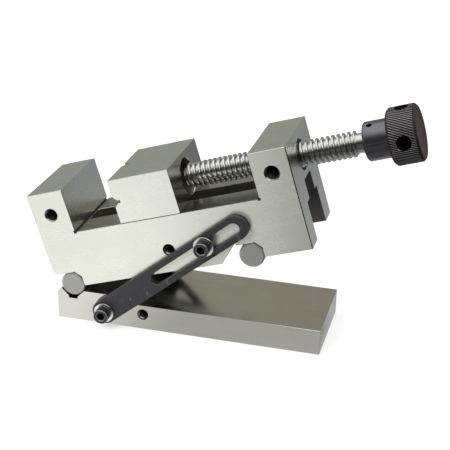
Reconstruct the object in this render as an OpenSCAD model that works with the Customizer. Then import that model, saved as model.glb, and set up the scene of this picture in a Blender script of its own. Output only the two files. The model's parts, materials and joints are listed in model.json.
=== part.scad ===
// Sine vise: a ground vise body on two rollers, hinged on a base and held at its angle by a slotted link.
// The origin is the centre of the base's underside, X runs along the base and Z is up.
// The vise has its own frame: u along the bed from its hinge end, y across, w up from its underside.

/* [Sine rollers] */
// Distance between the axes of the two rollers, the sine length
roller_spacing = 100; // [92:1:115]
// Diameter of the rollers
roller_d = 13; // [11.5:0.1:14]
// Distance of the hinge roller's axis from the hinge end of the body
roller_inset = 8.6; // [8.2:0.1:11]
// Height of the roller axes above the underside of the body
roller_rise = 1.85; // [1:0.05:2.8]
// Height of the gauge blocks that give the tilt shown
gauge_stack = 30; // [5:1:60]

/* [Vise body] */
// Length of the vise body
body_length = 140; // [130:1:160]
// Width of the vise body, the moving jaw and the base
body_width = 48; // [42:1:60]
// Height of the rails above the underside of the body
bed_height = 30; // [27:0.5:36]
// Height of the jaws above the rails
jaw_height = 23.5; // [21:0.5:30]
// Length of the fixed jaw
fixed_jaw_length = 20; // [18:0.5:26]
// Length of the end block that carries the spindle
end_block_length = 19.5; // [16:0.5:25]
// Width of the guide slot between the rails
slot_width = 13.5; // [10:0.5:15]
// Width of the channel under the rails
channel_width = 24; // [20:0.5:28]
// Thickness of the rails over the channel
rail_thickness = 10; // [8:0.5:12]
// Height of the spindle's axis above the rails
spindle_over_rails = 11.1; // [10.2:0.1:12.5]

/* [Moving jaw] */
// Length of the moving jaw
moving_jaw_length = 33; // [31:0.5:40]
// Jaw opening in the position shown
jaw_opening = 26; // [4:0.5:45]
// Depth of the two vee grooves in the jaw face
vee_depth = 2.7; // [1.5:0.1:3.5]
// Diameter of the counterbore in the back of the moving jaw
jaw_counterbore_d = 19; // [15:0.5:20]
// Depth of that counterbore
jaw_counterbore_depth = 10; // [6:0.5:12]
// Thickness of the keeper plate under the rails
keeper_thickness = 7; // [5.5:0.1:8.5]

/* [Spindle and knob] */
// Outside diameter of the spindle's thread
spindle_d = 13; // [12:0.1:14]
// Pitch of the spindle's thread
thread_pitch = 2.7; // [2:0.1:3.4]
// Diameter of the spindle's plain nose
nose_d = 8.7; // [7.5:0.1:10]
// Length of the threaded part
thread_length = 88.3; // [70:0.1:100]
// Length of the plain shank between the thread and the knob
shank_length = 4.4; // [2:0.1:15]
// Diameter of the knob's collar
collar_d = 19.5; // [17:0.5:24]
// Length of the knob's collar
collar_length = 12.5; // [9:0.5:18]
// Diameter of the knob's gripping head
knob_d = 28.5; // [25:0.5:34]
// Length of the knob's gripping head
knob_length = 14.5; // [13:0.5:20]
// Diameter of the cross holes for a turning bar
bar_hole_d = 7.5; // [5:0.5:8]
// Place of the cross holes along the gripping head
bar_hole_inset = 7.6; // [6:0.1:9]

/* [Base] */
// Length of the base plate
base_length = 140.5; // [130:0.5:160]
// Thickness of the base plate under the sine roller
base_thickness = 13.5; // [12.5:0.5:18]
// Height of the hinge pad above the rest of the base
pad_rise = 3.5; // [2.8:0.1:4.4]
// Length of the hinge pad
pad_length = 38; // [24:1:60]

/* [Lock links] */
// Width of each link
link_width = 13; // [11.5:0.1:15]
// Thickness of each link
link_thickness = 3; // [2:0.5:6]
// Width of a link's slot
link_slot_width = 6.2; // [6:0.1:7.5]
// Place of the pivot screws along the base from its hinge end
pivot_along = 27; // [20:0.1:34]
// Height of the pivot screws above the base's underside
pivot_height = 8.4; // [7.6:0.1:9.6]
// Place of the clamp screws along the vise body
clamp_along = 87; // [78:0.1:92]
// Height of the clamp screws above the underside of the body
clamp_height = 12; // [9:0.1:15]
// Distance of the spare holes for these screws
spare_hole_step = 20; // [14:0.5:30]
// Largest tilt of the vise
largest_tilt = 45; // [38:1:50]

/* [Hidden] */
$fn = 64;

// Clearances
over = 1;
slide_gap = 0.05;
press_gap = 0.01;
running_gap = 0.05;
thread_gap = 0.05;
spindle_gap = 0.1;
zero_gap = 0.25;
link_gap = 0.3;
washer_gap = 0.1;
head_gap = 0.2;
hole_end_gap = 1;

// Screws: thread, head diameter, head height, socket across flats, clearance hole
link_screw = [4.8, 7.9, 4.8, 4, 4.9];
keeper_screw = [4, 7, 4, 3, 4.5];
roller_screw = [3, 5.5, 3, 2.5, 3.4];
socket_share = 0.55;

// Rollers and their seats
roller_r = roller_d / 2;
roller_end_inset = 0.4;
roller_length = body_width - 2 * roller_end_inset;
roller_chamfer = 0.6;
roller_places = [roller_inset, roller_inset + roller_spacing];
roller_screw_side = (channel_width + body_width) / 4;
roller_screw_head_sink = 0.5;
roller_screw_head_seat = -(roller_r - roller_screw_head_sink - roller_screw[2]);
roller_screw_grip = 6;
roller_screw_length = roller_r - roller_screw_head_seat + roller_screw_grip;
seat_reach = roller_r + press_gap;
seat_height = roller_rise + seat_reach;
seat_corner_gap = 0.5;
seat_corner = 2 * seat_reach - sqrt(2) * (roller_r + seat_corner_gap);
seat_lead = 2;
ramp_notch = 1.35;
ramp_height = seat_height + ramp_notch;
ramp_end = roller_places[1] - roller_r;

// The tilt shown, and where the hinge axis stands on the base
tilt = asin(gauge_stack / roller_spacing);
hinge_x = -base_length / 2 + roller_inset;
hinge_z = base_thickness + roller_r + zero_gap;

// Body
body_height = bed_height + jaw_height;
end_block_face = body_length - end_block_length;
jaw_relief = 1.2;
slot_end_gap = 0.3;
slot_start = fixed_jaw_length + slot_end_gap;
channel_wall = 4;
channel_start = roller_places[0] + roller_r + channel_wall;
channel_ceiling = bed_height - rail_thickness;
spindle_height = bed_height + spindle_over_rails;
spindle_mouth = 1.4;
jaw_hole_d = 6.8;
end_hole_d = 7.6;
jaw_hole_over_rails = 11.2;
end_hole_over_rails = 11.8;
end_hole_wall = 3;
jaw_hole_depth = 14;
link_hole_mouth_d = 6.1;
link_hole_wall = 2;
link_hole_depth = (body_width - channel_width) / 2 - link_hole_wall;

// Moving jaw
jaw_face = fixed_jaw_length + jaw_opening;
jaw_back = jaw_face + moving_jaw_length;
vee_relief = 1.1;
vee_relief_reach = 0.8;
vee_middle = bed_height + jaw_height / 2;
tongue_inset = 8.5;
tongue_back_inset = 2;
tongue_length = moving_jaw_length - tongue_inset - tongue_back_inset;
keeper_lip = 1;
keeper_side_gap = 0.5;
keeper_top = channel_ceiling - slide_gap;
keeper_screw_inset = 4;
keeper_screw_places = [jaw_face + tongue_inset + keeper_screw_inset,
    jaw_back - tongue_back_inset - keeper_screw_inset];
keeper_screw_grip = 8;

// Spindle
nose_seat = jaw_back - jaw_counterbore_depth;
nose_length = 8;
nose_tip = nose_seat - nose_length;
ball_gap = 0.3;
ball_d = nose_d - 2 * ball_gap;
ball_middle = nose_tip - running_gap - ball_d / 2;
nose_hole_end = ball_middle - ball_d / 2;
groove_d = 6;
groove_width = 3.2;
groove_inset = 4.5;
groove_middle = nose_seat - groove_inset;
pin_d = 3;
pin_side = groove_d / 2 + running_gap + pin_d / 2;
pin_top = spindle_height + nose_d / 2 + hole_end_gap;
pin_end_inset = 0.5;
pin_bottom = bed_height + slide_gap + pin_end_inset;
thread_depth_gap = 0.2;
thread_root_d = spindle_d - thread_pitch - 2 * thread_depth_gap;
neck_length = 1.2;
thread_start = jaw_back + neck_length;
thread_crest_share = 0.366;
thread_flank_angle = 15;
thread_crest = thread_crest_share * thread_pitch;
thread_flank = (spindle_d - thread_root_d) / 2 * tan(thread_flank_angle);
thread_ring = 2 * thread_flank + thread_crest;
thread_rings = floor((thread_length - thread_ring) / thread_pitch) + 1;
collar_start = thread_start + thread_length + shank_length;
knob_start = collar_start + collar_length;
knob_chamfer = 1.2;
collar_chamfer = 0.8;
knob_pin_inset = 3.7;
knob_pin_along = collar_start + knob_pin_inset;
knob_pin_turn = 19;
knob_pin_sink = 1;
bar_hole_along = knob_start + bar_hole_inset;

// Base
pad_height = base_thickness + pad_rise;
pad_chamfer = 2;
vee_relief_width = 4.8;
vee_relief_sink = 1.4;
vee_relief_floor = base_thickness - vee_relief_sink;
seat_vee = (roller_r + running_gap) * sqrt(2);

// Lock links, from their pivots on the base to the clamp screws on the vise
pivot_x = -base_length / 2 + pivot_along;
clamp_arm = [clamp_along - roller_inset, clamp_height - roller_rise];
function clamp_from_pivot(angle) = [
    hinge_x - pivot_x + clamp_arm[0] * cos(angle) - clamp_arm[1] * sin(angle),
    hinge_z - pivot_height + clamp_arm[0] * sin(angle) + clamp_arm[1] * cos(angle)];
shortest_reach = norm(clamp_from_pivot(0));
longest_reach = norm(clamp_from_pivot(largest_tilt));
// A link turns at a constant rate with the tilt, so here it lies a little below its screw
link_lag = 0.66;
link_angle = atan2(clamp_from_pivot(tilt)[1], clamp_from_pivot(tilt)[0]) - link_lag;
slot_spare_low = 27;
slot_spare_high = 8.2;
slot_from = shortest_reach - slot_spare_low;
slot_to = longest_reach + slot_spare_high;
tip_wall = 4.7;
link_tip = slot_to + link_slot_width / 2 + tip_wall - link_width / 2;
link_back = -body_width / 2 - link_gap;
link_front = link_back - link_thickness;
washer_d = 10.5;
washer_hole_d = 5.1;
washer_thickness = 1;
washer_back = link_front - washer_gap;
link_stack = link_gap + link_thickness + washer_gap + washer_thickness;
screw_head_seat = -body_width / 2 - link_stack;
link_waist_d = 4;
link_screw_length = link_stack + link_hole_depth - hole_end_gap;

// From the vise's frame to its tilted place on the base
module on_vise() {
    translate([hinge_x, 0, hinge_z]) rotate([0, -tilt, 0])
        translate([-roller_inset, 0, -roller_rise]) children();
}

// An outline in length and height, run across the width
module across(width) {
    rotate([90, 0, 0]) linear_extrude(height = width, center = true) children();
}

// A straight cylinder along X from a start, on the spindle's axis
module along(start, length, d) {
    translate([start, 0, spindle_height]) rotate([0, 90, 0]) cylinder(d = d, h = length);
}

// A blind hole from the front face
module side_hole(place, height, d, depth) {
    translate([place, -body_width / 2, height]) rotate([-90, 0, 0])
        translate([0, 0, -over]) cylinder(d = d, h = depth + over);
}

// The front of the vise, and its mirror image at the rear
module both_sides() {
    for (rear = [0, 1])
        mirror([0, rear, 0]) children();
}

// A tapped hole for a link screw, with a countersunk mouth
module link_hole(place, height) {
    d = link_screw[0] + 2 * thread_gap;
    mouth = (link_hole_mouth_d - d) / 2;
    side_hole(place, height, d, link_hole_depth);
    translate([place, -body_width / 2 - over, height]) rotate([-90, 0, 0])
        cylinder(d1 = link_hole_mouth_d + 2 * over, d2 = d, h = over + mouth);
}

// A cap screw with its head's underside at zero and its shank up, thinner along a waist if it has one
module cap_screw(screw, length, waist = 0, waist_d = 0) {
    difference() {
        union() {
            translate([0, 0, waist]) cylinder(d = screw[0], h = length - waist);
            if (waist > 0) cylinder(d = waist_d, h = waist + over);
            translate([0, 0, -screw[2]]) cylinder(d = screw[1], h = screw[2]);
        }
        translate([0, 0, -screw[2] - over])
            cylinder(d = screw[3] * 2 / sqrt(3), h = over + screw[2] * socket_share, $fn = 6);
    }
}

module washer() {
    rotate([90, 0, 0]) difference() {
        cylinder(d = washer_d, h = washer_thickness);
        translate([0, 0, -over]) cylinder(d = washer_hole_d, h = washer_thickness + 2 * over);
    }
}

module base_outline() {
    left = -base_length / 2;
    polygon([[left, 0], [left, pad_height - pad_chamfer], [left + pad_chamfer, pad_height],
        [left + pad_length, pad_height], [left + pad_length, base_thickness],
        [base_length / 2, base_thickness], [base_length / 2, 0]]);
}

module base_plate() {
    root = vee_relief_width / 2;
    root_height = hinge_z - seat_vee + root;
    rise = pad_height + over - hinge_z + seat_vee;
    color("#9a9b94") difference() {
        across(body_width) base_outline();
        across(body_width + 2 * over) polygon([[hinge_x - root, root_height],
            [hinge_x + root, root_height], [hinge_x + rise, pad_height + over],
            [hinge_x - rise, pad_height + over]]);
        translate([hinge_x - root, -body_width / 2 - over, vee_relief_floor])
            cube([vee_relief_width, body_width + 2 * over, pad_rise]);
        both_sides()
            for (step = [0, spare_hole_step])
                link_hole(pivot_x + step, pivot_height);
    }
}

// A roller's seat from its flat to the underside, with a slant across the corner for the roller's screws
function seat_points(place) = [[place + seat_reach - seat_corner, seat_height],
    [place + seat_reach, seat_height - seat_corner], [place + seat_reach, 0]];

module body_outline() {
    polygon(concat([[0, seat_height + seat_lead], [seat_lead, seat_height]], seat_points(roller_places[0]),
        [[ramp_end - ramp_height, 0], [ramp_end, ramp_height], [ramp_end, seat_height]],
        seat_points(roller_places[1]), [[body_length, 0], [body_length, body_height],
        [end_block_face, body_height], [end_block_face, bed_height], [fixed_jaw_length, bed_height],
        [fixed_jaw_length, body_height], [0, body_height]]));
}

// A square relief along the foot of a jaw
module jaw_foot_relief(place) {
    translate([place, 0, bed_height]) cube([jaw_relief, body_width + 2 * over, jaw_relief], center = true);
}

module vise_body() {
    color("#b4b6ab") on_vise() difference() {
        across(body_width) body_outline();
        for (place = [fixed_jaw_length, end_block_face])
            jaw_foot_relief(place);
        translate([slot_start, -slot_width / 2, channel_ceiling - over])
            cube([body_length, slot_width, rail_thickness + over]);
        translate([channel_start, -channel_width / 2, -over])
            cube([body_length, channel_width, channel_ceiling + over]);
        along(end_block_face - over, end_block_length + 2 * over, spindle_d + 2 * spindle_gap);
        for (side = [0, 1])
            translate([side == 0 ? end_block_face : body_length, 0, spindle_height])
                rotate([0, side == 0 ? 90 : -90, 0]) translate([0, 0, -over])
                    cylinder(d1 = spindle_d + 2 * (spindle_mouth + over), d2 = spindle_d,
                        h = spindle_mouth + over);
        side_hole(fixed_jaw_length / 2, bed_height + jaw_hole_over_rails, jaw_hole_d, jaw_hole_depth);
        side_hole(body_length - end_block_length / 2, bed_height + end_hole_over_rails, end_hole_d,
            (body_width - spindle_d) / 2 - end_hole_wall);
        both_sides()
            for (step = [0, spare_hole_step])
                link_hole(clamp_along - step, clamp_height);
        for (place = roller_places)
            at_roller_screws(place)
                cylinder(d = roller_screw[0] + 2 * thread_gap, h = roller_screw_length + hole_end_gap);
    }
}

// Axis of each roller's two screws, pulling it into the corner of its seat
module at_roller_screws(place) {
    for (side = [-1, 1])
        translate([place, side * roller_screw_side, roller_rise]) rotate([0, 45, 0])
            translate([0, 0, roller_screw_head_seat]) children();
}

module roller(place) {
    straight = roller_length / 2 - roller_chamfer;
    color("#c3c6c2") on_vise() difference() {
        translate([place, 0, roller_rise]) rotate([90, 0, 0]) rotate_extrude()
            polygon([[0, -roller_length / 2], [roller_r - roller_chamfer, -roller_length / 2],
                [roller_r, -straight], [roller_r, straight],
                [roller_r - roller_chamfer, roller_length / 2], [0, roller_length / 2]]);
        at_roller_screws(place) {
            cylinder(d = roller_screw[4], h = roller_d);
            translate([0, 0, -roller_r]) cylinder(d = roller_screw[1] + 2 * head_gap, h = roller_r);
        }
    }
}

module roller_screws(place) {
    color("#33333a") on_vise() at_roller_screws(place) cap_screw(roller_screw, roller_screw_length);
}

module hinge_roller() { roller(roller_places[0]); }
module hinge_roller_screws() { roller_screws(roller_places[0]); }
module sine_roller() { roller(roller_places[1]); }
module sine_roller_screws() { roller_screws(roller_places[1]); }

// Vee with a relieved root, cut to a depth into the jaw face, as an outline about its middle
module vee_outline() {
    polygon([[-over, vee_depth + over], [vee_depth, 0], [-over, -vee_depth - over]]);
    translate([0, -vee_relief / 2]) square([vee_depth + vee_relief_reach, vee_relief]);
}

module moving_jaw() {
    bottom = bed_height + slide_gap;
    tongue_bottom = keeper_top;
    color("#b2b4aa") on_vise() difference() {
        union() {
            translate([jaw_face, -body_width / 2, bottom])
                cube([moving_jaw_length, body_width, body_height - bottom]);
            translate([jaw_face + tongue_inset, -slot_width / 2 + slide_gap, tongue_bottom])
                cube([tongue_length, slot_width - 2 * slide_gap, bottom + over - tongue_bottom]);
        }
        translate([jaw_face, 0, vee_middle]) across(body_width + 2 * over) vee_outline();
        translate([jaw_face, 0, bottom - over]) linear_extrude(height = jaw_height + 2 * over) vee_outline();
        along(nose_seat, jaw_counterbore_depth + over, jaw_counterbore_d);
        along(nose_hole_end, nose_seat + over - nose_hole_end, nose_d + 2 * running_gap);
        for (side = [-1, 1])
            translate([groove_middle, side * pin_side, tongue_bottom - over])
                cylinder(d = pin_d + 2 * press_gap, h = pin_top - tongue_bottom + over);
        for (place = keeper_screw_places)
            translate([place, 0, tongue_bottom - over])
                cylinder(d = keeper_screw[0] + 2 * thread_gap, h = keeper_screw_grip + hole_end_gap + over);
    }
}

// Head seats of the keeper's screws, in the counterbores of its underside
module at_keeper_screws() {
    for (place = keeper_screw_places)
        translate([place, 0, keeper_top - keeper_thickness + keeper_screw[2] + head_gap]) children();
}

module jaw_keeper() {
    width = channel_width - 2 * keeper_side_gap;
    color("#8d8f8c") on_vise() difference() {
        translate([jaw_face + tongue_inset - keeper_lip, -width / 2, keeper_top - keeper_thickness])
            cube([tongue_length + 2 * keeper_lip, width, keeper_thickness]);
        at_keeper_screws() {
            cylinder(d = keeper_screw[4], h = keeper_thickness);
            translate([0, 0, -keeper_thickness])
                cylinder(d = keeper_screw[1] + 2 * head_gap, h = keeper_thickness);
        }
    }
}

module keeper_screws() {
    length = keeper_thickness - keeper_screw[2] - head_gap + keeper_screw_grip;
    color("#33333a") on_vise() at_keeper_screws() cap_screw(keeper_screw, length);
}

module spindle_pins() {
    color("#c3c6c2") on_vise() for (side = [-1, 1])
        translate([groove_middle, side * pin_side, pin_bottom])
            cylinder(d = pin_d, h = pin_top - pin_bottom);
}

module thrust_ball() {
    color("#d0d2d2") on_vise()
        translate([ball_middle, 0, spindle_height]) sphere(d = ball_d);
}

// Outline of the spindle in radius and length: nose with its groove, threaded part, shank in the knob
module spindle_outline() {
    nose = nose_d / 2;
    root = thread_root_d / 2;
    crest = spindle_d / 2;
    groove = [groove_middle - groove_width / 2, groove_middle + groove_width / 2];
    ring = [[root, 0], [crest, thread_flank], [crest, thread_flank + thread_crest],
        [root, thread_ring]];
    thread = [for (turn = [0 : thread_rings - 1]) for (point = ring)
        [point[0], thread_start + turn * thread_pitch + point[1]]];
    polygon(concat([[0, nose_tip], [nose, nose_tip], [nose, groove[0]], [groove_d / 2, groove[0]],
        [groove_d / 2, groove[1]], [nose, groove[1]], [nose, thread_start - thread_flank],
        [root, thread_start - thread_flank]], thread, [[root, knob_start], [0, knob_start]]));
}

module spindle() {
    color("#c9cbc8") on_vise() difference() {
        translate([0, 0, spindle_height]) rotate([0, 90, 0]) rotate_extrude() spindle_outline();
        at_knob_pin() cylinder(d = pin_d + 2 * press_gap, h = collar_d, center = true);
    }
}

module at_knob_pin() {
    translate([knob_pin_along, 0, spindle_height]) rotate([knob_pin_turn, 0, 0]) children();
}

module knob_outline() {
    collar = collar_d / 2;
    head = knob_d / 2;
    end = knob_start + knob_length;
    polygon([[0, collar_start], [collar - collar_chamfer, collar_start],
        [collar, collar_start + collar_chamfer], [collar, knob_start], [head - knob_chamfer, knob_start],
        [head, knob_start + knob_chamfer], [head, end - knob_chamfer], [head - knob_chamfer, end], [0, end]]);
}

module spindle_knob() {
    color("#3a3638") on_vise() difference() {
        translate([0, 0, spindle_height]) rotate([0, 90, 0]) rotate_extrude() knob_outline();
        along(collar_start - over, collar_length + over, thread_root_d + 2 * press_gap);
        at_knob_pin() cylinder(d = pin_d + 2 * press_gap, h = collar_d + over, center = true);
        for (turn = [0, 90])
            translate([bar_hole_along, 0, spindle_height]) rotate([turn, 0, 0])
                cylinder(d = bar_hole_d, h = knob_d + over, center = true);
    }
}

module knob_pin() {
    color("#55555a") on_vise() at_knob_pin()
        cylinder(d = pin_d, h = collar_d - 2 * knob_pin_sink, center = true);
}

// The front link's own frame: from the pivot along its length
module on_link() {
    translate([pivot_x, 0, pivot_height]) rotate([0, -link_angle, 0]) children();
}

// A bar with round ends between two places along the link
module round_bar(from, to, width, back, front) {
    for (place = [from, to])
        translate([place, back, 0]) rotate([90, 0, 0]) cylinder(d = width, h = back - front);
    translate([from, front, -width / 2]) cube([to - from, back - front, width]);
}

module slotted_bar() {
    on_link() difference() {
        round_bar(0, link_tip, link_width, link_back, link_front);
        round_bar(slot_from, slot_to, link_slot_width, link_back + over, link_front - over);
        translate([0, link_back + over, 0]) rotate([90, 0, 0])
            cylinder(d = link_screw[4], h = link_thickness + 2 * over);
    }
}

module front_link_bar() {
    color("#45444a") slotted_bar();
}

module rear_link_bar() {
    color("#45444a") mirror([0, 1, 0]) slotted_bar();
}

module link_pivot_screws() {
    color("#2e2d31") both_sides() translate([pivot_x, screw_head_seat, pivot_height]) rotate([-90, 0, 0])
        cap_screw(link_screw, link_screw_length);
}

module link_pivot_washers() {
    color("#d8d9d6") both_sides() translate([pivot_x, washer_back, pivot_height]) washer();
}

module link_clamp_screws() {
    color("#2e2d31") on_vise() both_sides() translate([clamp_along, screw_head_seat, clamp_height])
        rotate([-90, 0, 0]) cap_screw(link_screw, link_screw_length, link_stack, link_waist_d);
}

module link_clamp_washers() {
    color("#d8d9d6") on_vise() both_sides() translate([clamp_along, washer_back, clamp_height]) washer();
}

base_plate();
vise_body();
hinge_roller();
hinge_roller_screws();
sine_roller();
sine_roller_screws();
moving_jaw();
jaw_keeper();
keeper_screws();
spindle_pins();
thrust_ball();
spindle();
spindle_knob();
knob_pin();
front_link_bar();
rear_link_bar();
link_pivot_screws();
link_pivot_washers();
link_clamp_screws();
link_clamp_washers();
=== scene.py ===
# Looks of the sine vise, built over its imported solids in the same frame, in metres.
import json
import math

import bmesh
import bpy
from mathutils import Matrix, Vector


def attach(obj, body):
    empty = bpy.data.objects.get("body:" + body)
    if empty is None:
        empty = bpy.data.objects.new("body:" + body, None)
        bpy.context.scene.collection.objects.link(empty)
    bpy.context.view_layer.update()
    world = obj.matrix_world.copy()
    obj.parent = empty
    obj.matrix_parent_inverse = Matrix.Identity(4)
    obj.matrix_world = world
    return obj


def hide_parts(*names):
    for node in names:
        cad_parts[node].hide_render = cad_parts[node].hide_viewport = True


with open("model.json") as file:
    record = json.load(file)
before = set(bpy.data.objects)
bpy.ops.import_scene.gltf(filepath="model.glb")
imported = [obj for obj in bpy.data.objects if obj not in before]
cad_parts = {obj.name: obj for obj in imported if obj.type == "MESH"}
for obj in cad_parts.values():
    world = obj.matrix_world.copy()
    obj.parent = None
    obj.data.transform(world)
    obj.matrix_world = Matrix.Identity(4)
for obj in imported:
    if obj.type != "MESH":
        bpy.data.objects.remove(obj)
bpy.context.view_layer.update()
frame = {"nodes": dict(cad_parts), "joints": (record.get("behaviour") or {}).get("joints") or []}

# Bench, room and lamps
# A sheet of white paper on a bench, far larger than the vise, under a broad pale ceiling in a plain grey
# studio, with soft lamps at the left, at the right, in front and behind. The camera sees the lit paper
# lifted towards white. Ground steel mirrors the paper, which to glossy rays glows with a painted pool of
# light, brightest at the front left, and a painted shadow under and behind the vise.
scene = bpy.context.scene
scene.view_settings.view_transform = "Standard"
PAPER_HALF = 9.0
PAPER_GREY = 0.40
PAPER_LIFT = 0.55
paper_shape = bmesh.new()
bmesh.ops.create_grid(paper_shape, x_segments=1, y_segments=1, size=PAPER_HALF)
paper_mesh = bpy.data.meshes.new("paper")
paper_shape.to_mesh(paper_mesh)
paper_shape.free()
paper = bpy.data.objects.new("paper", paper_mesh)
scene.collection.objects.link(paper)

white_paper = bpy.data.materials.new("white_paper")
white_paper.use_nodes = True
tree = white_paper.node_tree
tree.nodes.remove(tree.nodes["Principled BSDF"])
light_path = tree.nodes.new("ShaderNodeLightPath")
matt = tree.nodes.new("ShaderNodeBsdfDiffuse")
matt.inputs["Color"].default_value = (PAPER_GREY, PAPER_GREY, PAPER_GREY, 1.0)


def between(tree, value, low, high, start=0.3, end=0.7):
    """A value's range, or a pattern's middle, spread over a range of levels."""
    spread = tree.nodes.new("ShaderNodeMapRange")
    spread.inputs["From Min"].default_value = start
    spread.inputs["From Max"].default_value = end
    spread.inputs["To Min"].default_value = low
    spread.inputs["To Max"].default_value = high
    tree.links.new(value, spread.inputs["Value"])
    return spread.outputs["Result"]


def combine(tree, operation, first, second):
    """Two values made one: their sum, their product or the larger."""
    joined = tree.nodes.new("ShaderNodeMath")
    joined.operation = operation
    tree.links.new(first, joined.inputs[0])
    tree.links.new(second, joined.inputs[1])
    return joined.outputs[0]


seen_white = combine(
    tree, "MAXIMUM", light_path.outputs["Is Camera Ray"], light_path.outputs["Is Transmission Ray"]
)
lift = tree.nodes.new("ShaderNodeEmission")
tree.links.new(between(tree, seen_white, 0.0, PAPER_LIFT, 0.0, 1.0), lift.inputs["Strength"])
lifted = tree.nodes.new("ShaderNodeAddShader")
tree.links.new(matt.outputs[0], lifted.inputs[0])
tree.links.new(lift.outputs[0], lifted.inputs[1])
paper_place = tree.nodes.new("ShaderNodeTexCoord")
paper_axes = tree.nodes.new("ShaderNodeSeparateXYZ")
tree.links.new(paper_place.outputs["Object"], paper_axes.inputs[0])


def levels(tree, value, stops, tint=(1.0, 1.0, 1.0)):
    """Levels of one tint along a value, given as places and levels in rising order."""
    start, end = stops[0][0], stops[-1][0]
    ramp = tree.nodes.new("ShaderNodeValToRGB")
    for at, (along, level) in enumerate(stops):
        if at == 0:
            step = ramp.color_ramp.elements[0]
        elif at == len(stops) - 1:
            step = ramp.color_ramp.elements[-1]
        else:
            step = ramp.color_ramp.elements.new((along - start) / (end - start))
        step.color = (level * tint[0], level * tint[1], level * tint[2], 1.0)
    tree.links.new(between(tree, value, 0.0, 1.0, start, end), ramp.inputs["Fac"])
    return ramp.outputs["Color"]


def blend(tree, factor, first, second):
    """One colour passing into another."""
    mix = tree.nodes.new("ShaderNodeMixRGB")
    tree.links.new(factor, mix.inputs["Fac"])
    tree.links.new(first, mix.inputs["Color1"])
    tree.links.new(second, mix.inputs["Color2"])
    return mix.outputs["Color"]


# Painted light, seen only in reflections: far_front and near_front are a painted pool of light on the paper
# in front of the vise, fading to the right, and behind is a painted shadow of the vise round the point
# under it, with a lighter ring round that.
PAPER_TINT = (0.97, 1.0, 1.07)
UNDER_SHIFT = (0.125, -0.857, 0.0)
UNDER_SCALE = (12.5, 14.3, 0.0)
far_lean = between(tree, paper_axes.outputs["Y"], 0.0, 0.08, -0.10, -0.35)
far_front = levels(tree, combine(tree, "ADD", paper_axes.outputs["X"], far_lean), (
    (-0.12, 0.895), (-0.060, 0.98), (-0.036, 0.94), (-0.017, 0.765), (-0.007, 0.62), (0.025, 0.43),
    (0.035, 0.33), (0.047, 0.18), (0.055, 0.12), (0.075, 0.05), (0.10, 0.12), (0.16, 0.12), (0.28, 0.05),
))
near_front = levels(tree, paper_axes.outputs["X"], (
    (-0.12, 1.0), (-0.066, 1.0), (-0.054, 0.91), (-0.030, 0.61), (-0.013, 0.51), (0.0, 0.48), (0.069, 0.49),
    (0.074, 0.24), (0.12, 0.20), (0.28, 0.10),
))
under_place = tree.nodes.new("ShaderNodeMapping")
under_place.inputs["Location"].default_value = UNDER_SHIFT
under_place.inputs["Scale"].default_value = UNDER_SCALE
tree.links.new(paper_place.outputs["Object"], under_place.inputs["Vector"])
from_under = tree.nodes.new("ShaderNodeVectorMath")
from_under.operation = "LENGTH"
tree.links.new(under_place.outputs["Vector"], from_under.inputs[0])
behind = levels(tree, from_under.outputs["Value"], (
    (0.0, 0.22), (0.75, 0.20), (1.0, 0.28), (1.14, 0.45), (1.35, 0.45), (1.7, 0.33), (3.0, 0.36),
    (5.0, 0.25),
), PAPER_TINT)
front_side = blend(
    tree, levels(tree, paper_axes.outputs["Y"], ((-0.075, 0.0), (-0.055, 1.0))), far_front, near_front
)
all_round = blend(
    tree, levels(tree, paper_axes.outputs["Y"], ((0.0, 0.0), (0.03, 1.0))), front_side, behind
)
# The painted pool and shadow glow for glossy rays only, and fade far in front of the vise.
far_fade = between(tree, paper_axes.outputs["Y"], 0.20, 1.23, -0.52, -0.31)
painted_mirror_glow = tree.nodes.new("ShaderNodeEmission")
tree.links.new(far_fade, painted_mirror_glow.inputs["Strength"])
tree.links.new(all_round, painted_mirror_glow.inputs["Color"])
paper_mix = tree.nodes.new("ShaderNodeMixShader")
tree.links.new(light_path.outputs["Is Glossy Ray"], paper_mix.inputs["Fac"])
tree.links.new(lifted.outputs[0], paper_mix.inputs[1])
tree.links.new(painted_mirror_glow.outputs[0], paper_mix.inputs[2])
tree.links.new(paper_mix.outputs[0], tree.nodes["Material Output"].inputs["Surface"])
paper_mesh.materials.append(white_paper)

room = bpy.data.worlds.new("room")
scene.world = room
room.use_nodes = True
tree = room.node_tree
toward = tree.nodes.new("ShaderNodeTexCoord")
apart = tree.nodes.new("ShaderNodeSeparateXYZ")
tree.links.new(toward.outputs["Generated"], apart.inputs[0])
ceiling = tree.nodes.new("ShaderNodeValToRGB")
ceiling.color_ramp.elements[0].color = (0.315, 0.33, 0.305, 1.0)
ceiling.color_ramp.elements[1].color = (1.5, 1.5, 1.49, 1.0)
for stop, shade in (
    (0.20, (0.318, 0.332, 0.300)), (0.42, (0.338, 0.322, 0.258)), (0.54, (0.345, 0.337, 0.29)),
    (0.66, (0.70, 0.70, 0.69)), (0.82, (1.4, 1.4, 1.39)),
):
    step = ceiling.color_ramp.elements.new(stop)
    step.color = (*shade, 1.0)
tree.links.new(apart.outputs["Z"], ceiling.inputs["Fac"])
front_wall = between(tree, apart.outputs["Y"], 0.15, 1.0, -0.9, -0.1)
overhead = between(tree, apart.outputs["Z"], 0.0, 1.0, 0.3, 0.65)
dark_side = between(tree, apart.outputs["X"], 0.05, 1.0, 0.95, 0.65)
room_level = combine(tree, "MULTIPLY", combine(tree, "MAXIMUM", front_wall, overhead), dark_side)
tree.links.new(ceiling.outputs["Color"], tree.nodes["Background"].inputs["Color"])
tree.links.new(room_level, tree.nodes["Background"].inputs["Strength"])

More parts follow.
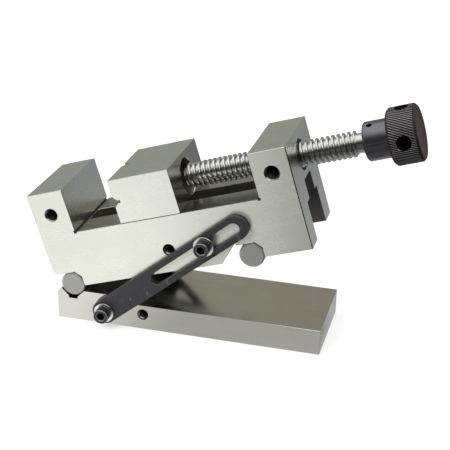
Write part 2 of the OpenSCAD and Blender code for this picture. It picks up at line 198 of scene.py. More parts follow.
LAMP_AIM = Vector((0.0, 0.0, 0.05))
for lamp_name, lamp_spot, lamp_size, lamp_power, in_mirrors in (
    ("key_lamp", (-1.1, 0.1, 0.9), 0.6, 3.5, True),
    ("fill_lamp", (0.7, -0.4, 1.2), 0.8, 2.0, True),
    ("front_lamp", (-0.45, -0.75, 0.65), 0.6, 11.3, False),
    ("rear_lamp", (0.35, 0.90, 0.45), 0.6, 8.0, False),
):
    lamp_data = bpy.data.lights.new(lamp_name, "AREA")
    lamp_data.shape = "SQUARE"
    lamp_data.size = lamp_size
    lamp_data.energy = lamp_power
    lamp = bpy.data.objects.new(lamp_name, lamp_data)
    lamp.location = lamp_spot
    lamp.rotation_euler = (LAMP_AIM - lamp.location).to_track_quat("-Z", "Y").to_euler()
    lamp.visible_glossy = in_mirrors
    scene.collection.objects.link(lamp)

# Camera
# A long lens in front, a little to the right and well above, as the photograph was taken. Its place and
# roll are fitted to the corners of the ground blocks.
CAMERA_TURN = math.radians(14.4243)
CAMERA_RISE = math.radians(23.924)
CAMERA_ROLL = math.radians(1.1746)
CAMERA_AIM = Vector((0.016597, -0.011230, 0.059123))
CAMERA_AWAY = 0.582478
CAMERA_LENS = 92.53
CAMERA_FILM = 36.0
camera_data = bpy.data.cameras.new("camera")
camera_data.lens = CAMERA_LENS
camera_data.sensor_width = CAMERA_FILM
camera = bpy.data.objects.new("camera", camera_data)
camera_back = Vector((
    math.sin(CAMERA_TURN) * math.cos(CAMERA_RISE),
    -math.cos(CAMERA_TURN) * math.cos(CAMERA_RISE),
    math.sin(CAMERA_RISE),
))
camera.matrix_world = (
    Matrix.Translation(CAMERA_AIM + CAMERA_AWAY * camera_back)
    @ Matrix.Rotation(CAMERA_TURN, 4, "Z")
    @ Matrix.Rotation(math.pi / 2 - CAMERA_RISE, 4, "X")
    @ Matrix.Rotation(CAMERA_ROLL, 4, "Z")
)
scene.collection.objects.link(camera)
scene.camera = camera

# Base plate
# A plate of hardened tool steel, ground on all sides, with a raised pad and a vee at its left end.
# Its edges are broken with a stone, and two holes in each side are tapped for the links' screws.
mm = 0.001
WELD = 0.001 * mm
FLAT = math.radians(0.5)
CORNER = math.radians(30.0)
SHARP = math.radians(15.0)
GRAIN_DEPTH = 0.03 * mm
GROUND, BROKEN, BASE_HOLE = range(3)


def noise(tree, vector, stretch, detail):
    """A noise pattern, finer along the axes that are stretched more, as a plain number."""
    scaled = tree.nodes.new("ShaderNodeMapping")
    scaled.inputs["Scale"].default_value = stretch
    tree.links.new(vector, scaled.inputs["Vector"])
    pattern = tree.nodes.new("ShaderNodeTexNoise")
    pattern.inputs["Scale"].default_value = 1.0
    pattern.inputs["Detail"].default_value = detail
    tree.links.new(scaled.outputs["Vector"], pattern.inputs["Vector"])
    return pattern.outputs["Fac"]


def shades(tree, value, deep, pale):
    """A colour between two shades of one finish."""
    ramp = tree.nodes.new("ShaderNodeValToRGB")
    ramp.color_ramp.elements[0].position = 0.3
    ramp.color_ramp.elements[0].color = (*deep, 1.0)
    ramp.color_ramp.elements[1].position = 0.7
    ramp.color_ramp.elements[1].color = (*pale, 1.0)
    tree.links.new(value, ramp.inputs["Fac"])
    return ramp.outputs["Color"]


def mean(tree, first, second):
    """The middle of two patterns."""
    halved = tree.nodes.new("ShaderNodeMath")
    halved.operation = "MULTIPLY"
    halved.inputs[1].default_value = 0.5
    tree.links.new(combine(tree, "ADD", first, second), halved.inputs[0])
    return halved.outputs[0]


def grain_bump(tree, shader, height, strength):
    """Fine relief on a surface from a pattern."""
    bump = tree.nodes.new("ShaderNodeBump")
    bump.inputs["Strength"].default_value = strength
    bump.inputs["Distance"].default_value = GRAIN_DEPTH
    tree.links.new(height, bump.inputs["Height"])
    tree.links.new(bump.outputs["Normal"], shader.inputs["Normal"])


def ground_steel(name, deep, pale, roughness, turn, metal=1.0):
    """Surface-ground steel: long fine grinding lines over a faint cloudy stain."""
    finish = bpy.data.materials.new(name)
    finish.use_nodes = True
    tree = finish.node_tree
    shader = tree.nodes["Principled BSDF"]
    shader.inputs["Metallic"].default_value = metal
    place = tree.nodes.new("ShaderNodeTexCoord")
    lay = tree.nodes.new("ShaderNodeMapping")
    lay.inputs["Rotation"].default_value = (0.0, turn, 0.0)
    tree.links.new(place.outputs["Object"], lay.inputs["Vector"])
    lines = noise(tree, lay.outputs["Vector"], (30.0, 2600.0, 2600.0), 3.0)
    bands = noise(tree, lay.outputs["Vector"], (14.0, 420.0, 420.0), 3.0)
    clouds = noise(tree, lay.outputs["Vector"], (60.0, 80.0, 80.0), 2.0)
    cover = mean(tree, mean(tree, lines, bands), clouds)
    tree.links.new(shades(tree, cover, deep, pale), shader.inputs["Base Color"])
    tree.links.new(between(tree, mean(tree, bands, clouds), *roughness), shader.inputs["Roughness"])
    grain_bump(tree, shader, mean(tree, lines, bands), 0.01)
    return finish


def place_piece(name, shape, finishes, body, slot, *nodes):
    """Makes the shape a piece that rides on a body and stands for its solids."""
    for face in shape.faces:
        face.smooth = True
    mesh = bpy.data.meshes.new(name)
    shape.to_mesh(mesh)
    shape.free()
    mesh.set_sharp_from_angle(angle=SHARP)
    for finish in finishes:
        mesh.materials.append(finish)
    piece = bpy.data.objects.new(name, mesh)
    scene.collection.objects.link(piece)
    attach(piece, body)
    if nodes:
        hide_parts(*nodes)
    return piece


def eased(node, width):
    """A copy of a solid with its outer edges broken, the broken edges as its second finish."""
    shape = bmesh.new()
    shape.from_mesh(frame["nodes"][node].data)
    bmesh.ops.remove_doubles(shape, verts=shape.verts, dist=WELD)
    bmesh.ops.dissolve_limit(shape, angle_limit=FLAT, verts=shape.verts, edges=shape.edges)
    corners = [
        edge for edge in shape.edges
        if edge.is_manifold and edge.is_convex and edge.calc_face_angle() > CORNER
    ]
    for face in shape.faces:
        face.material_index = GROUND
    broken = bmesh.ops.bevel(
        shape, geom=corners, offset=width, offset_type="OFFSET", affect="EDGES",
        segments=1, profile=0.5, material=-1, clamp_overlap=False,
    )
    for face in broken["faces"]:
        face.material_index = BROKEN
    return shape


base_steel = ground_steel("base_steel", (0.545, 0.541, 0.492), (0.604, 0.60, 0.546), (0.135, 0.175), 0.0)
bright_edge = ground_steel("bright_edge", (0.56, 0.56, 0.52), (0.64, 0.64, 0.60), (0.12, 0.17), 0.0)
# The near black steel below stands for shade: it is painted in the mouths of side holes, in the spindle's
# bore and in the corners of the rollers' seats, where shade falls.
painted_shade_dark = ground_steel("painted_shade_dark", (0.06, 0.055, 0.055), (0.10, 0.092, 0.092), (0.40, 0.55), 0.0)
HAIR = 0.03 * mm
FRONT = -24.0 * mm
base_holes = ((-43.25 * mm, 8.4 * mm), (-23.25 * mm, 8.4 * mm))
HOLE_MOUTH_R = 3.05 * mm
BASE_BREAK = 0.08 * mm
base_shape = eased("base_plate", BASE_BREAK)
# Faces in the mouths of the base's side holes take the near black steel: painted shade in the holes.
for face in base_shape.faces:
    middle = face.calc_center_median()
    if abs(middle.y) < -FRONT - HAIR and any(
        math.hypot(middle.x - along, middle.z - up) < HOLE_MOUTH_R + HAIR for along, up in base_holes
    ):
        face.material_index = BASE_HOLE
place_piece("ground_base", base_shape, (base_steel, bright_edge, painted_shade_dark), "base", "ground", "base_plate")

# Vise body
# One block of tool steel, ground all over, with the fixed jaw, two rails over a channel, and the end block.
# It lies tilted on its two rollers, so its grinding lines run along the tilted bed.
joints = {joint["name"]: joint for joint in frame["joints"]}
TILT = math.asin(joints["jaw_slide"]["axis"][2])
ROLLER_INSET = 8.6 * mm
ROLLER_RISE = 1.85 * mm
vise_frame = (
    Matrix.Translation(joints["sine_tilt"]["pos_m"])
    @ Matrix.Rotation(-TILT, 4, "Y")
    @ Matrix.Translation((-ROLLER_INSET, 0.0, -ROLLER_RISE))
)
VISE_SHADES = ((0.665, 0.675, 0.60), (0.735, 0.745, 0.665))
VISE_SHEEN = (0.24, 0.29)
vise_steel = ground_steel("vise_steel", *VISE_SHADES, VISE_SHEEN, TILT)
side_steel = ground_steel("side_steel", *VISE_SHADES, VISE_SHEEN, TILT, 0.7)
# Darker steel painted where shade falls: in the channel under the rails and its ceiling, in the relief
# grooves at the feet of the fixed jaw and the end block, and in the moving jaw's counterbore and vee roots.
recess_shade_dark = ground_steel("recess_shade_dark", (0.17, 0.158, 0.158), (0.235, 0.218, 0.218), (0.40, 0.55), 0.0)
# The slot's walls are painted darker than the rest of the ground steel: painted shade inside the slot.
slot_shade_steel = ground_steel("slot_shade_steel", (0.40, 0.37, 0.35), (0.50, 0.47, 0.44), (0.34, 0.46), TILT)
# The rail tops and the moving jaw's back are painted darker than the rest of the ground steel: painted
# shade and a painted dark reflection of the spindle and the jaw over them.
rail_shade_steel = ground_steel("rail_shade_steel", (0.37, 0.365, 0.325), (0.42, 0.415, 0.37), (0.22, 0.27), TILT)
RECESS_SHADE, SLOT, RAIL, SIDE, BORE = range(2, 7)
EDGE_BREAK = 0.22 * mm
CHANNEL_SIDE = 12.0 * mm
CHANNEL_TOP = 20.0 * mm
CHANNEL_START = 18.85 * mm
SLOT_SIDE = 6.75 * mm
SLOT_START = 20.3 * mm
JAW_FEET = (20.0 * mm, 120.5 * mm)
FOOT_REACH = 0.75 * mm
BED = 30.0 * mm
END_BLOCK = 120.5 * mm
BODY_END = 140.0 * mm
UPRIGHT_BREAK = 0.42 * mm
SPINDLE_UP = 41.1 * mm
BORE_REACH = 8.2 * mm
SINE_LENGTH = 100.0 * mm
SEAT_REACH = 9.2 * mm
SLANT = 0.4
JAW_HOLE = (10.0 * mm, 41.2 * mm, 3.4 * mm)
END_HOLE = (130.25 * mm, 41.8 * mm, 3.8 * mm)
SPARE_HOLE = (67.0 * mm, 12.0 * mm, HOLE_MOUTH_R)
CLAMP_HOLE = (87.0 * mm, 12.0 * mm, HOLE_MOUTH_R)
body_shape = eased("vise_body", EDGE_BREAK)
to_vise = vise_frame.inverted()
for corner in body_shape.verts:
    place = to_vise @ corner.co
    if abs(abs(place.y) + FRONT) < HAIR and abs(place.x - BODY_END + EDGE_BREAK) < HAIR:
        place.x -= UPRIGHT_BREAK - EDGE_BREAK
    elif abs(place.x - BODY_END) < HAIR and abs(abs(place.y) + FRONT + EDGE_BREAK) < HAIR:
        place.y -= math.copysign(UPRIGHT_BREAK - EDGE_BREAK, place.y)
    corner.co = vise_frame @ place
for face in body_shape.faces:
    middle = to_vise @ face.calc_center_median()
    side = abs(middle.y)
    in_channel = middle.z < CHANNEL_TOP and (
        abs(side - CHANNEL_SIDE) < HAIR or (abs(middle.x - CHANNEL_START) < HAIR and side < CHANNEL_SIDE)
    )
    in_slot = CHANNEL_TOP - HAIR < middle.z < BED - EDGE_BREAK and side < SLOT_SIDE + HAIR
    in_ceiling = abs(middle.z - CHANNEL_TOP) < HAIR and side < CHANNEL_SIDE + HAIR
    off_axis = math.hypot(middle.y, middle.z - SPINDLE_UP)
    in_bore = END_BLOCK + HAIR < middle.x < BODY_END - HAIR and off_axis < BORE_REACH
    in_foot = abs(middle.z - BED) < FOOT_REACH and any(
        abs(middle.x - foot) < FOOT_REACH for foot in JAW_FEET
    )
    in_hole = side < -FRONT - HAIR and any(
        math.hypot(middle.x - along, middle.z - up) < reach + HAIR
        for along, up, reach in (JAW_HOLE, END_HOLE, SPARE_HOLE, CLAMP_HOLE)
    )
    on_rail = JAW_FEET[0] < middle.x < JAW_FEET[1] and BED - EDGE_BREAK < middle.z < BED + HAIR
    lean = to_vise.to_3x3() @ face.normal
    in_corner = abs(lean.x) > SLANT and abs(lean.z) > SLANT and any(
        math.hypot(middle.x - along, middle.z - ROLLER_RISE) < SEAT_REACH
        for along in (ROLLER_INSET, ROLLER_INSET + SINE_LENGTH)
    )
    # The walls of the slot between the rails take the darker slot steel: painted shade.
    if in_slot and middle.x > SLOT_START + HAIR:
        face.material_index = SLOT
    # The rail tops take the darker rail steel: painted shade and dark reflection under the spindle.
    elif on_rail and not in_foot:
        face.material_index = RAIL
    # The channel, its ceiling and the relief grooves take the darker steel: painted shade.
    elif in_channel or in_ceiling or in_foot:
        face.material_index = RECESS_SHADE
    # The bore, the side holes and the corners of the rollers' seats take the near black steel: painted
    # shade.
    elif in_bore or in_hole or in_corner:
        face.material_index = BORE
    elif face.material_index == GROUND and (abs(side + FRONT) < HAIR or abs(middle.z) < HAIR):
        face.material_index = SIDE
place_piece(
    "ground_body", body_shape,
    (vise_steel, bright_edge, recess_shade_dark, slot_shade_steel, rail_shade_steel, side_steel, painted_shade_dark),
    "vise", "ground", "vise_body",
)

# Tapped threads
# The threads cut in the blind holes of the vise's and the base's sides, seen just inside their mouths.
# Each is a closed coil of three-sided section, a hair inside the hole it lies in, with a bright lip at the
# mouth where the edge is countersunk.
# The coil's near black steel is painted shade inside the holes.
thread_shade_steel = ground_steel("thread_shade_steel", (0.035, 0.03, 0.03), (0.07, 0.062, 0.06), (0.34, 0.46), 0.0)
lip_steel = ground_steel("lip_steel", (0.26, 0.25, 0.24), (0.34, 0.33, 0.32), (0.22, 0.30), 0.0)
COIL_STEPS = 40
COIL_CLEAR = 0.02 * mm
COIL_SHARE = 0.96
LIP = 0.45 * mm
LIP_SINK = 0.05 * mm


def tapped_thread(name, body, spot, inward, hole_r, tooth, pitch, sink, turns):
    """A coil of thread round a hole's axis, which runs in from a side face."""
    shape = bmesh.new()
    outer = hole_r - COIL_CLEAR
    section = [
        shape.verts.new((outer, 0.0, 0.0)),
        shape.verts.new((outer - tooth, inward * pitch * COIL_SHARE / 2, 0.0)),
        shape.verts.new((outer, inward * pitch * COIL_SHARE, 0.0)),
    ]
    ring = [shape.edges.new((section[at - 1], section[at])) for at in range(len(section))]
    bmesh.ops.spin(
        shape, geom=section + ring, cent=(0.0, 0.0, 0.0), axis=(0.0, 1.0, 0.0),
        dvec=(0.0, inward * pitch / COIL_STEPS, 0.0), angle=2 * math.pi * turns,
        steps=COIL_STEPS * turns, use_merge=False,
    )
    bmesh.ops.holes_fill(shape, edges=[edge for edge in shape.edges if edge.is_boundary], sides=3)
    coil = set(shape.faces)
    lip = [
        shape.verts.new((outer, inward * (LIP_SINK - sink), 0.0)),
        shape.verts.new((outer - LIP, inward * (LIP_SINK + LIP - sink), 0.0)),
        shape.verts.new((outer, inward * (LIP_SINK + LIP - sink), 0.0)),
    ]
    lip_ring = [shape.edges.new((lip[at - 1], lip[at])) for at in range(len(lip))]
    bmesh.ops.spin(
        shape, geom=lip + lip_ring, cent=(0.0, 0.0, 0.0), axis=(0.0, 1.0, 0.0),
        dvec=(0.0, 0.0, 0.0), angle=2 * math.pi, steps=COIL_STEPS, use_merge=True,
    )
    for face in shape.faces:
        face.material_index = 0 if face in coil else 1
    bmesh.ops.recalc_face_normals(shape, faces=shape.faces)
    bmesh.ops.translate(shape, verts=shape.verts, vec=spot + Vector((0.0, inward * sink, 0.0)))
    return place_piece(name, shape, (thread_shade_steel, lip_steel), body, "ground")


SPARE_R = 2.45 * mm
for name, (along, up, hole_r) in (("fixed_jaw_thread", JAW_HOLE), ("end_block_thread", END_HOLE)):
    spot = vise_frame @ Vector((along, FRONT, up))
    tapped_thread(name, "vise", spot, 1.0, hole_r, 0.75 * mm, 1.0 * mm, 0.7 * mm, 11)
for where, inward in (("front", 1.0), ("rear", -1.0)):
    body_spare = vise_frame @ Vector((SPARE_HOLE[0], FRONT * inward, SPARE_HOLE[1]))
    base_spare = Vector((base_holes[1][0], FRONT * inward, base_holes[1][1]))
    for body, piece_name, spot in (("vise", "body", body_spare), ("base", "base", base_spare)):
        tapped_thread(
            f"{where}_{piece_name}_thread", body, spot, inward, SPARE_R, 0.4 * mm, 0.8 * mm, 0.9 * mm, 9
        )

# Rollers and their screws
# Two hardened steel rollers, ground bright: one turns in the base's vee, the other stands on gauge blocks.
# Each is pulled into the corner of its seat by two small black cap screws.
ROLLER_BREAK = 0.08 * mm
roller_steel = ground_steel(
    "roller_steel", (0.285, 0.285, 0.273), (0.335, 0.335, 0.323), (0.30, 0.40), TILT, 0.6
)
for node in ("hinge_roller", "sine_roller"):
    place_piece(
        f"ground_{node}", eased(node, ROLLER_BREAK), (roller_steel, bright_edge), "vise", "bright", node
    )


def black_steel(name, deep, pale, roughness, speck, metal=0.55):
    """Steel blackened in a hot bath: dark, a little glossy, with faint blotches and scuffs."""
    finish = bpy.data.materials.new(name)
    finish.use_nodes = True
    tree = finish.node_tree
    shader = tree.nodes["Principled BSDF"]
    shader.inputs["Metallic"].default_value = metal
    place = tree.nodes.new("ShaderNodeTexCoord")
    blotches = noise(tree, place.outputs["Object"], (260.0, 260.0, 260.0), 4.0)
    specks = noise(tree, place.outputs["Object"], (speck, speck, speck), 2.0)
    tree.links.new(
        shades(tree, mean(tree, blotches, specks), deep, pale), shader.inputs["Base Color"]
    )
    tree.links.new(between(tree, blotches, *roughness), shader.inputs["Roughness"])
    grain_bump(tree, shader, specks, 0.12)
    return finish


screw_black = black_steel("screw_black", (0.022, 0.021, 0.023), (0.05, 0.048, 0.052), (0.28, 0.42), 1800.0)
for node in ("hinge_roller_screws", "sine_roller_screws"):
    frame["nodes"][node].material_slots[0].material = screw_black

# Moving jaw and its keeper
# A ground block with two crossed vees in its face and a counterbore in its back. Its tongue runs between
# the rails, and a plate held by two cap screws keeps it down.
JAW_BACK_SHADE, JAW_SIDE = 3, 4
JAW_BACK = 79.0 * mm
COUNTERBORE_REACH = 9.55 * mm
NOSE_HOLE_END = 52.5 * mm
VEE_ROOT = (48.1 * mm, 49.7 * mm)
jaw_shape = eased("moving_jaw", EDGE_BREAK)
for face in jaw_shape.faces:
    middle = to_vise @ face.calc_center_median()
    off_axis = math.hypot(middle.y, middle.z - SPINDLE_UP)
    in_counterbore = NOSE_HOLE_END < middle.x < JAW_BACK - EDGE_BREAK and off_axis < COUNTERBORE_REACH
    # The counterbore and the roots of the vees take the darker steel: painted shade in these recesses.
    if in_counterbore or VEE_ROOT[0] < middle.x < VEE_ROOT[1]:
        face.material_index = RECESS_SHADE
    # The back face takes the darker rail steel: painted shade and dark reflection.
    elif abs(middle.x - JAW_BACK) < HAIR:
        face.material_index = JAW_BACK_SHADE
    elif face.material_index == GROUND and abs(abs(middle.y) + FRONT) < HAIR:
        face.material_index = JAW_SIDE
place_piece(
    "ground_jaw", jaw_shape, (vise_steel, bright_edge, recess_shade_dark, rail_shade_steel, side_steel),
    "jaw", "ground", "moving_jaw",
)
frame["nodes"]["jaw_keeper"].material_slots[0].material = vise_steel
frame["nodes"]["keeper_screws"].material_slots[0].material = screw_black

# Ball and pins of the spindle's nose
# A hardened and polished ball takes the thrust in the jaw. Two dowel pins, pressed into the jaw across the
# nose's groove, let the spindle turn and pull the jaw back.
polished = ground_steel("polished", (0.54, 0.54, 0.525), (0.62, 0.62, 0.605), (0.14, 0.20), TILT)
frame["nodes"]["thrust_ball"].material_slots[0].material = polished
frame["nodes"]["spindle_pins"].material_slots[0].material = polished

# Spindle
# A turned and polished screw with a right-hand trapezoidal thread, a thin grooved nose in the jaw
# and a plain shank, pinned into the knob.
spindle_frame = vise_frame @ Matrix.Translation((0.0, 0.0, SPINDLE_UP))
PITCH = 2.7 * mm
CREST_R = 6.5 * mm
ROOT_R = 4.95 * mm
NOSE_R = 4.35 * mm
GROOVE_R = 3.0 * mm
NOSE_TIP = 61.0 * mm
GROOVE = (62.9 * mm, 66.1 * mm)
THREAD = (79.8 * mm, 168.4 * mm)
SHANK_END = 185.4 * mm
SHANK_R = ROOT_R - 0.01 * mm
FLANK_LEAN = math.radians(15.0)
CREST_SHARE = 0.366
CREST_EASE = 0.16 * mm
TURN_STEPS = 48
ROUND_STEPS = 64


def lathe(shape, outline, steps):
    """Turns an outline of lengths and radii round the X axis."""
    corners = [shape.verts.new((length, 0.0, radius)) for length, radius in outline]
    runs = [shape.edges.new(pair) for pair in zip(corners, corners[1:])]
    bmesh.ops.spin(
        shape, geom=corners + runs, cent=(0.0, 0.0, 0.0), axis=(1.0, 0.0, 0.0),
        dvec=(0.0, 0.0, 0.0), angle=2 * math.pi, steps=steps, use_merge=True,
    )
    bmesh.ops.remove_doubles(shape, verts=shape.verts, dist=WELD)


thread = bmesh.new()
flank = (CREST_R - ROOT_R) * math.tan(FLANK_LEAN)
crest = CREST_SHARE * PITCH
valley = PITCH - 2 * flank - crest
tooth = [
    (0.0, ROOT_R),
    (valley, ROOT_R),
    (valley + flank * 0.9, CREST_R - CREST_EASE),
    (valley + flank + CREST_EASE, CREST_R),
    (valley + flank + crest - CREST_EASE, CREST_R),
    (valley + flank * 1.1 + crest, CREST_R - CREST_EASE),
    (PITCH, ROOT_R),
]
turns = math.ceil((THREAD[1] - THREAD[0]) / PITCH) + 2
corners = [thread.verts.new((THREAD[0] - PITCH + length, 0.0, radius)) for length, radius in tooth]
runs = [thread.edges.new(pair) for pair in zip(corners, corners[1:])]
bmesh.ops.spin(
    thread, geom=corners + runs, cent=(0.0, 0.0, 0.0), axis=(1.0, 0.0, 0.0),
    dvec=(PITCH / TURN_STEPS, 0.0, 0.0), angle=2 * math.pi * turns,
    steps=TURN_STEPS * turns, use_merge=False,
)
bmesh.ops.remove_doubles(thread, verts=thread.verts, dist=2 * WELD)
for end, way in ((THREAD[0], -1.0), (THREAD[1], 1.0)):
    bmesh.ops.bisect_plane(
        thread, geom=thread.verts[:] + thread.edges[:] + thread.faces[:], dist=0.1 * WELD,
        plane_co=(end, 0.0, 0.0), plane_no=(way, 0.0, 0.0), clear_outer=True,
    )
bmesh.ops.holes_fill(thread, edges=[edge for edge in thread.edges if edge.is_boundary], sides=0)
lathe(thread, (
    (NOSE_TIP, 0.0), (NOSE_TIP, NOSE_R), (GROOVE[0], NOSE_R), (GROOVE[0], GROOVE_R), (GROOVE[1], GROOVE_R),
    (GROOVE[1], NOSE_R), (THREAD[0] + PITCH, NOSE_R), (THREAD[0] + PITCH, 0.0),
), ROUND_STEPS)
lathe(thread, (
    (THREAD[1] - PITCH, 0.0), (THREAD[1] - PITCH, SHANK_R), (SHANK_END, SHANK_R), (SHANK_END, 0.0),
), ROUND_STEPS)
bmesh.ops.recalc_face_normals(thread, faces=thread.faces)
bmesh.ops.transform(thread, matrix=spindle_frame, verts=thread.verts)
place_piece("polished_spindle", thread, (polished,), "spindle", "bright", "spindle")

# Knob
# A steel knob, turned, knurled on the skew and blackened, with a smooth collar pinned on the spindle.
# Two crossed holes through its head take a turning bar.
COLLAR = (172.9 * mm, 185.4 * mm)
COLLAR_R = 9.75 * mm
COLLAR_EASE = 0.8 * mm
HEAD_END = 199.9 * mm
HEAD_R = 14.25 * mm
HEAD_EASE = 1.2 * mm
RIDGES = 70
RIDGE_CORNERS = 4
RIDGE_DEPTH = 0.38 * mm
RIDGE_SLANT = math.radians(27.0)
KNURL_STEPS = 8
BORE_R = 4.96 * mm
BAR_ALONG = 193.0 * mm
BAR_R = 3.75 * mm
MOUTH_R = 4.1 * mm
PIN_ALONG = 176.6 * mm
PIN_R = 1.51 * mm
PIN_TURN = math.radians(19.0)
DISH_DEEP = 0.15 * mm
DISH_RIM = 0.5 * mm
COLLAR_SIDE, END_FACE, WORN, HOLE = range(1, 5)
knob = bmesh.new()
knurl = (COLLAR[1] + HEAD_EASE, HEAD_END - HEAD_EASE)
made = bmesh.ops.create_circle(
    knob, cap_ends=False, radius=HEAD_R, segments=RIDGES * RIDGE_CORNERS,
    matrix=Matrix.Translation((knurl[0], 0.0, 0.0)) @ Matrix.Rotation(math.pi / 2, 4, "Y"),
)
for at, corner in enumerate(made["verts"]):
    if at % RIDGE_CORNERS < RIDGE_CORNERS // 2:
        corner.co.yz = corner.co.yz * ((HEAD_R - RIDGE_DEPTH) / HEAD_R)
start_ring = [edge for edge in knob.edges]
twist = (knurl[1] - knurl[0]) * math.tan(RIDGE_SLANT) / HEAD_R
spun = bmesh.ops.spin(
    knob, geom=made["verts"] + start_ring, cent=(0.0, 0.0, 0.0), axis=(1.0, 0.0, 0.0),
    dvec=((knurl[1] - knurl[0]) / KNURL_STEPS, 0.0, 0.0), angle=twist, steps=KNURL_STEPS,
    use_merge=False,
)
end_ring = [part for part in spun["geom_last"] if isinstance(part, bmesh.types.BMEdge)]


def rim(shape, ring, length, radius):
    """Runs a ring of edges on to a plain round ring at another length and radius."""
    grown = bmesh.ops.extrude_edge_only(shape, edges=ring)
    tips = [part for part in grown["geom"] if isinstance(part, bmesh.types.BMVert)]
    for tip in tips:
        tip.co.x = length
        tip.co.yz = tip.co.yz.normalized() * radius
    fresh = set(tips)
    return [edge for edge in shape.edges if edge.verts[0] in fresh and edge.verts[1] in fresh]


edge_ring = rim(knob, end_ring, HEAD_END, HEAD_R - HEAD_EASE)
dish_ring = rim(knob, edge_ring, HEAD_END - DISH_DEEP, HEAD_R - HEAD_EASE - DISH_RIM)
bmesh.ops.contextual_create(knob, geom=dish_ring)
back_ring = rim(knob, start_ring, COLLAR[1], HEAD_R - HEAD_EASE)
neck_ring = rim(knob, back_ring, COLLAR[1], COLLAR_R)
lead_ring = rim(knob, neck_ring, COLLAR[0] + COLLAR_EASE, COLLAR_R)
face_ring = rim(knob, lead_ring, COLLAR[0], COLLAR_R - COLLAR_EASE)
bore_ring = rim(knob, face_ring, COLLAR[0], BORE_R)
floor_ring = rim(knob, bore_ring, COLLAR[1], BORE_R)
bmesh.ops.contextual_create(knob, geom=floor_ring)
bmesh.ops.recalc_face_normals(knob, faces=knob.faces)
for face in knob.faces:
    middle = face.calc_center_median()
    if middle.x < COLLAR[1] + 0.1 * mm:
        face.material_index = COLLAR_SIDE
    elif middle.x > HEAD_END - 2 * DISH_DEEP:
        face.material_index = END_FACE
    elif middle.yz.length > HEAD_R - 0.05 * mm:
        face.material_index = WORN
bmesh.ops.transform(knob, matrix=spindle_frame, verts=knob.verts)

knurl_black = black_steel(
    "knurl_black", (0.014, 0.011, 0.0127), (0.026, 0.021, 0.0235), (0.34, 0.46), 900.0
)
collar_black = black_steel(
    "collar_black", (0.125, 0.120, 0.136), (0.168, 0.162, 0.182), (0.07, 0.12), 1500.0, 0.9
)
end_black = black_steel(
    "end_black", (0.045, 0.031, 0.029), (0.074, 0.051, 0.047), (0.45, 0.55), 1200.0, 0.05
)
# The hole black below is not a finish but painted shade: a matt black without gloss, put in the knob's
# cross holes, on the pin's end in its hole and in the screws' sockets.
hole_shade_black = black_steel(
    "hole_shade_black", (0.003, 0.003, 0.003), (0.006, 0.005, 0.005), (0.45, 0.60), 1500.0, 0.0
)
for finish, gloss in ((end_black, 0.03), (hole_shade_black, 0.0)):
    finish.node_tree.nodes["Principled BSDF"].inputs["Specular IOR Level"].default_value = gloss
worn_black = black_steel("worn_black", (0.17, 0.155, 0.165), (0.31, 0.283, 0.300), (0.30, 0.42), 1500.0)
knob_piece = place_piece(
    "knurled_knob", knob, (knurl_black, collar_black, end_black, worn_black, hole_shade_black),
    "spindle", "black", "spindle_knob"
)

PAST = 1.0 * mm
BAR_SINK = 0.45 * mm
PIN_SINK = 0.35 * mm
PIN_MOUTH_R = PIN_R + 1.35 * mm
drill = bmesh.new()


def flared_bit(along, turn, hole_r, mouth_r, reach, flare, steps):
    """Adds a drill across the knob's axis, which widens where it leaves the surface."""
    bit = bmesh.new()
    lathe(bit, (
        (-reach, 0.0), (-reach, mouth_r), (-flare, hole_r), (flare, hole_r), (reach, mouth_r), (reach, 0.0),
    ), steps)
    bmesh.ops.recalc_face_normals(bit, faces=bit.faces)
    for face in bit.faces:
        # The drill's walls take the hole black, painted shade inside the holes; its flared mouths take the
        # worn black.
        face.material_index = WORN if abs(face.calc_center_median().x) > flare else HOLE
    bmesh.ops.transform(
        bit, verts=bit.verts,
        matrix=spindle_frame @ Matrix.Translation((along, 0.0, 0.0))
        @ Matrix.Rotation(turn, 4, "X") @ Matrix.Rotation(math.pi / 2, 4, "Y"),
    )
    bit_mesh = bpy.data.meshes.new("bit")
    bit.to_mesh(bit_mesh)
    bit.free()
    drill.from_mesh(bit_mesh)
    bpy.data.meshes.remove(bit_mesh)


for turn in (0.0, math.pi / 2):
    flared_bit(BAR_ALONG, turn, BAR_R, MOUTH_R + PAST, HEAD_R + PAST, HEAD_R - BAR_SINK, 48)
flared_bit(PIN_ALONG, PIN_TURN, PIN_R, PIN_MOUTH_R, COLLAR_R + PAST, COLLAR_R - PIN_SINK, 32)
drill_mesh = bpy.data.meshes.new("knob_drill")
drill.to_mesh(drill_mesh)
drill.free()
for finish in knob_piece.data.materials:
    drill_mesh.materials.append(finish)
drill_tool = bpy.data.objects.new("knob_drill", drill_mesh)
scene.collection.objects.link(drill_tool)
drilling = knob_piece.modifiers.new("drilling", "BOOLEAN")
drilling.operation = "DIFFERENCE"
drilling.solver = "EXACT"
drilling.use_self = True
drilling.material_mode = "TRANSFER"
drilling.object = drill_tool
bpy.context.view_layer.update()
with_holes = knob_piece.evaluated_get(bpy.context.evaluated_depsgraph_get())
drilled = bpy.data.meshes.new_from_object(with_holes)
knob_piece.modifiers.remove(drilling)
knob_piece.data = drilled
drilled.name = "knurled_knob"
drilled.set_sharp_from_angle(angle=CORNER)
bpy.data.objects.remove(drill_tool)
# The pin's end, sunk in its hole, is painted black as shade.
frame["nodes"]["knob_pin"].material_slots[0].material = hole_shade_black

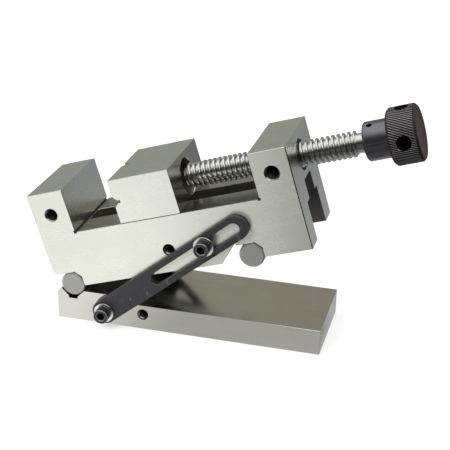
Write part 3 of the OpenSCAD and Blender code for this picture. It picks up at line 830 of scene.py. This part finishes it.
# Lock links
# Two slotted straps of blackened flat steel, one on each side, with round ends. Each turns on its pivot
# screw and is clamped through its slot. Their edges are worn a little bright, and their faces are scuffed.
LINK_BREAK = 0.2 * mm
SCUFF_SHADE = (0.115, 0.112, 0.115, 1.0)
SCUFF_COVER = 0.75
link_black = black_steel("link_black", (0.031, 0.029, 0.032), (0.051, 0.049, 0.053), (0.36, 0.50), 1400.0)
tree = link_black.node_tree
link_shader = tree.nodes["Principled BSDF"]
link_colour = link_shader.inputs["Base Color"].links[0].from_socket
link_place = tree.nodes.new("ShaderNodeTexCoord")
scuffs = noise(tree, link_place.outputs["Object"], (420.0, 420.0, 210.0), 3.0)
scuffed = tree.nodes.new("ShaderNodeMixRGB")
tree.links.new(between(tree, scuffs, 0.0, SCUFF_COVER, 0.62, 0.71), scuffed.inputs["Fac"])
tree.links.new(link_colour, scuffed.inputs["Color1"])
scuffed.inputs["Color2"].default_value = SCUFF_SHADE
tree.links.new(scuffed.outputs["Color"], link_shader.inputs["Base Color"])
link_edge = black_steel("link_edge", (0.07, 0.068, 0.07), (0.14, 0.138, 0.138), (0.34, 0.46), 700.0)
for where in ("front", "rear"):
    place_piece(
        f"{where}_lock_link", eased(f"{where}_link_bar", LINK_BREAK), (link_black, link_edge),
        f"{where}_link", "black", f"{where}_link_bar",
    )

# Link screws and washers
# Black socket-head cap screws with bright plated washers: on each side one is the link's pivot on the base,
# and the other clamps its slot to the vise.
screw_edge = black_steel("screw_edge", (0.16, 0.155, 0.16), (0.34, 0.332, 0.335), (0.24, 0.34), 1500.0)
plated = ground_steel("plated", (0.70, 0.70, 0.68), (0.84, 0.84, 0.81), (0.20, 0.32), 0.0)
SOCKET = 2
SOCKET_REACH = 2.4 * mm
SOCKET_DEEP = (0.4 * mm, 3.0 * mm)
SCREW_BREAK = 0.3 * mm
WASHER_BREAK = 0.15 * mm
for node, body, axis_at in (
    ("link_pivot_screws", "base", Vector((base_holes[0][0], 0.0, base_holes[0][1]))),
    ("link_clamp_screws", "vise", vise_frame @ Vector((CLAMP_HOLE[0], 0.0, CLAMP_HOLE[1]))),
):
    screw_shape = eased(node, SCREW_BREAK)
    head_front = max(corner.co.y for corner in screw_shape.verts)
    for face in screw_shape.faces:
        middle = face.calc_center_median()
        off_axis = math.hypot(middle.x - axis_at.x, middle.z - axis_at.z)
        deep = head_front - abs(middle.y)
        # The socket's walls and floor take the hole black: painted shade in the socket.
        if off_axis < SOCKET_REACH and SOCKET_DEEP[0] < deep < SOCKET_DEEP[1]:
            face.material_index = SOCKET
    place_piece(f"black_{node}", screw_shape, (screw_black, screw_edge, hole_shade_black), body, "black", node)
for node, body in (("link_pivot_washers", "base"), ("link_clamp_washers", "vise")):
    place_piece(f"plated_{node}", eased(node, WASHER_BREAK), (plated, bright_edge), body, "zinc", node)
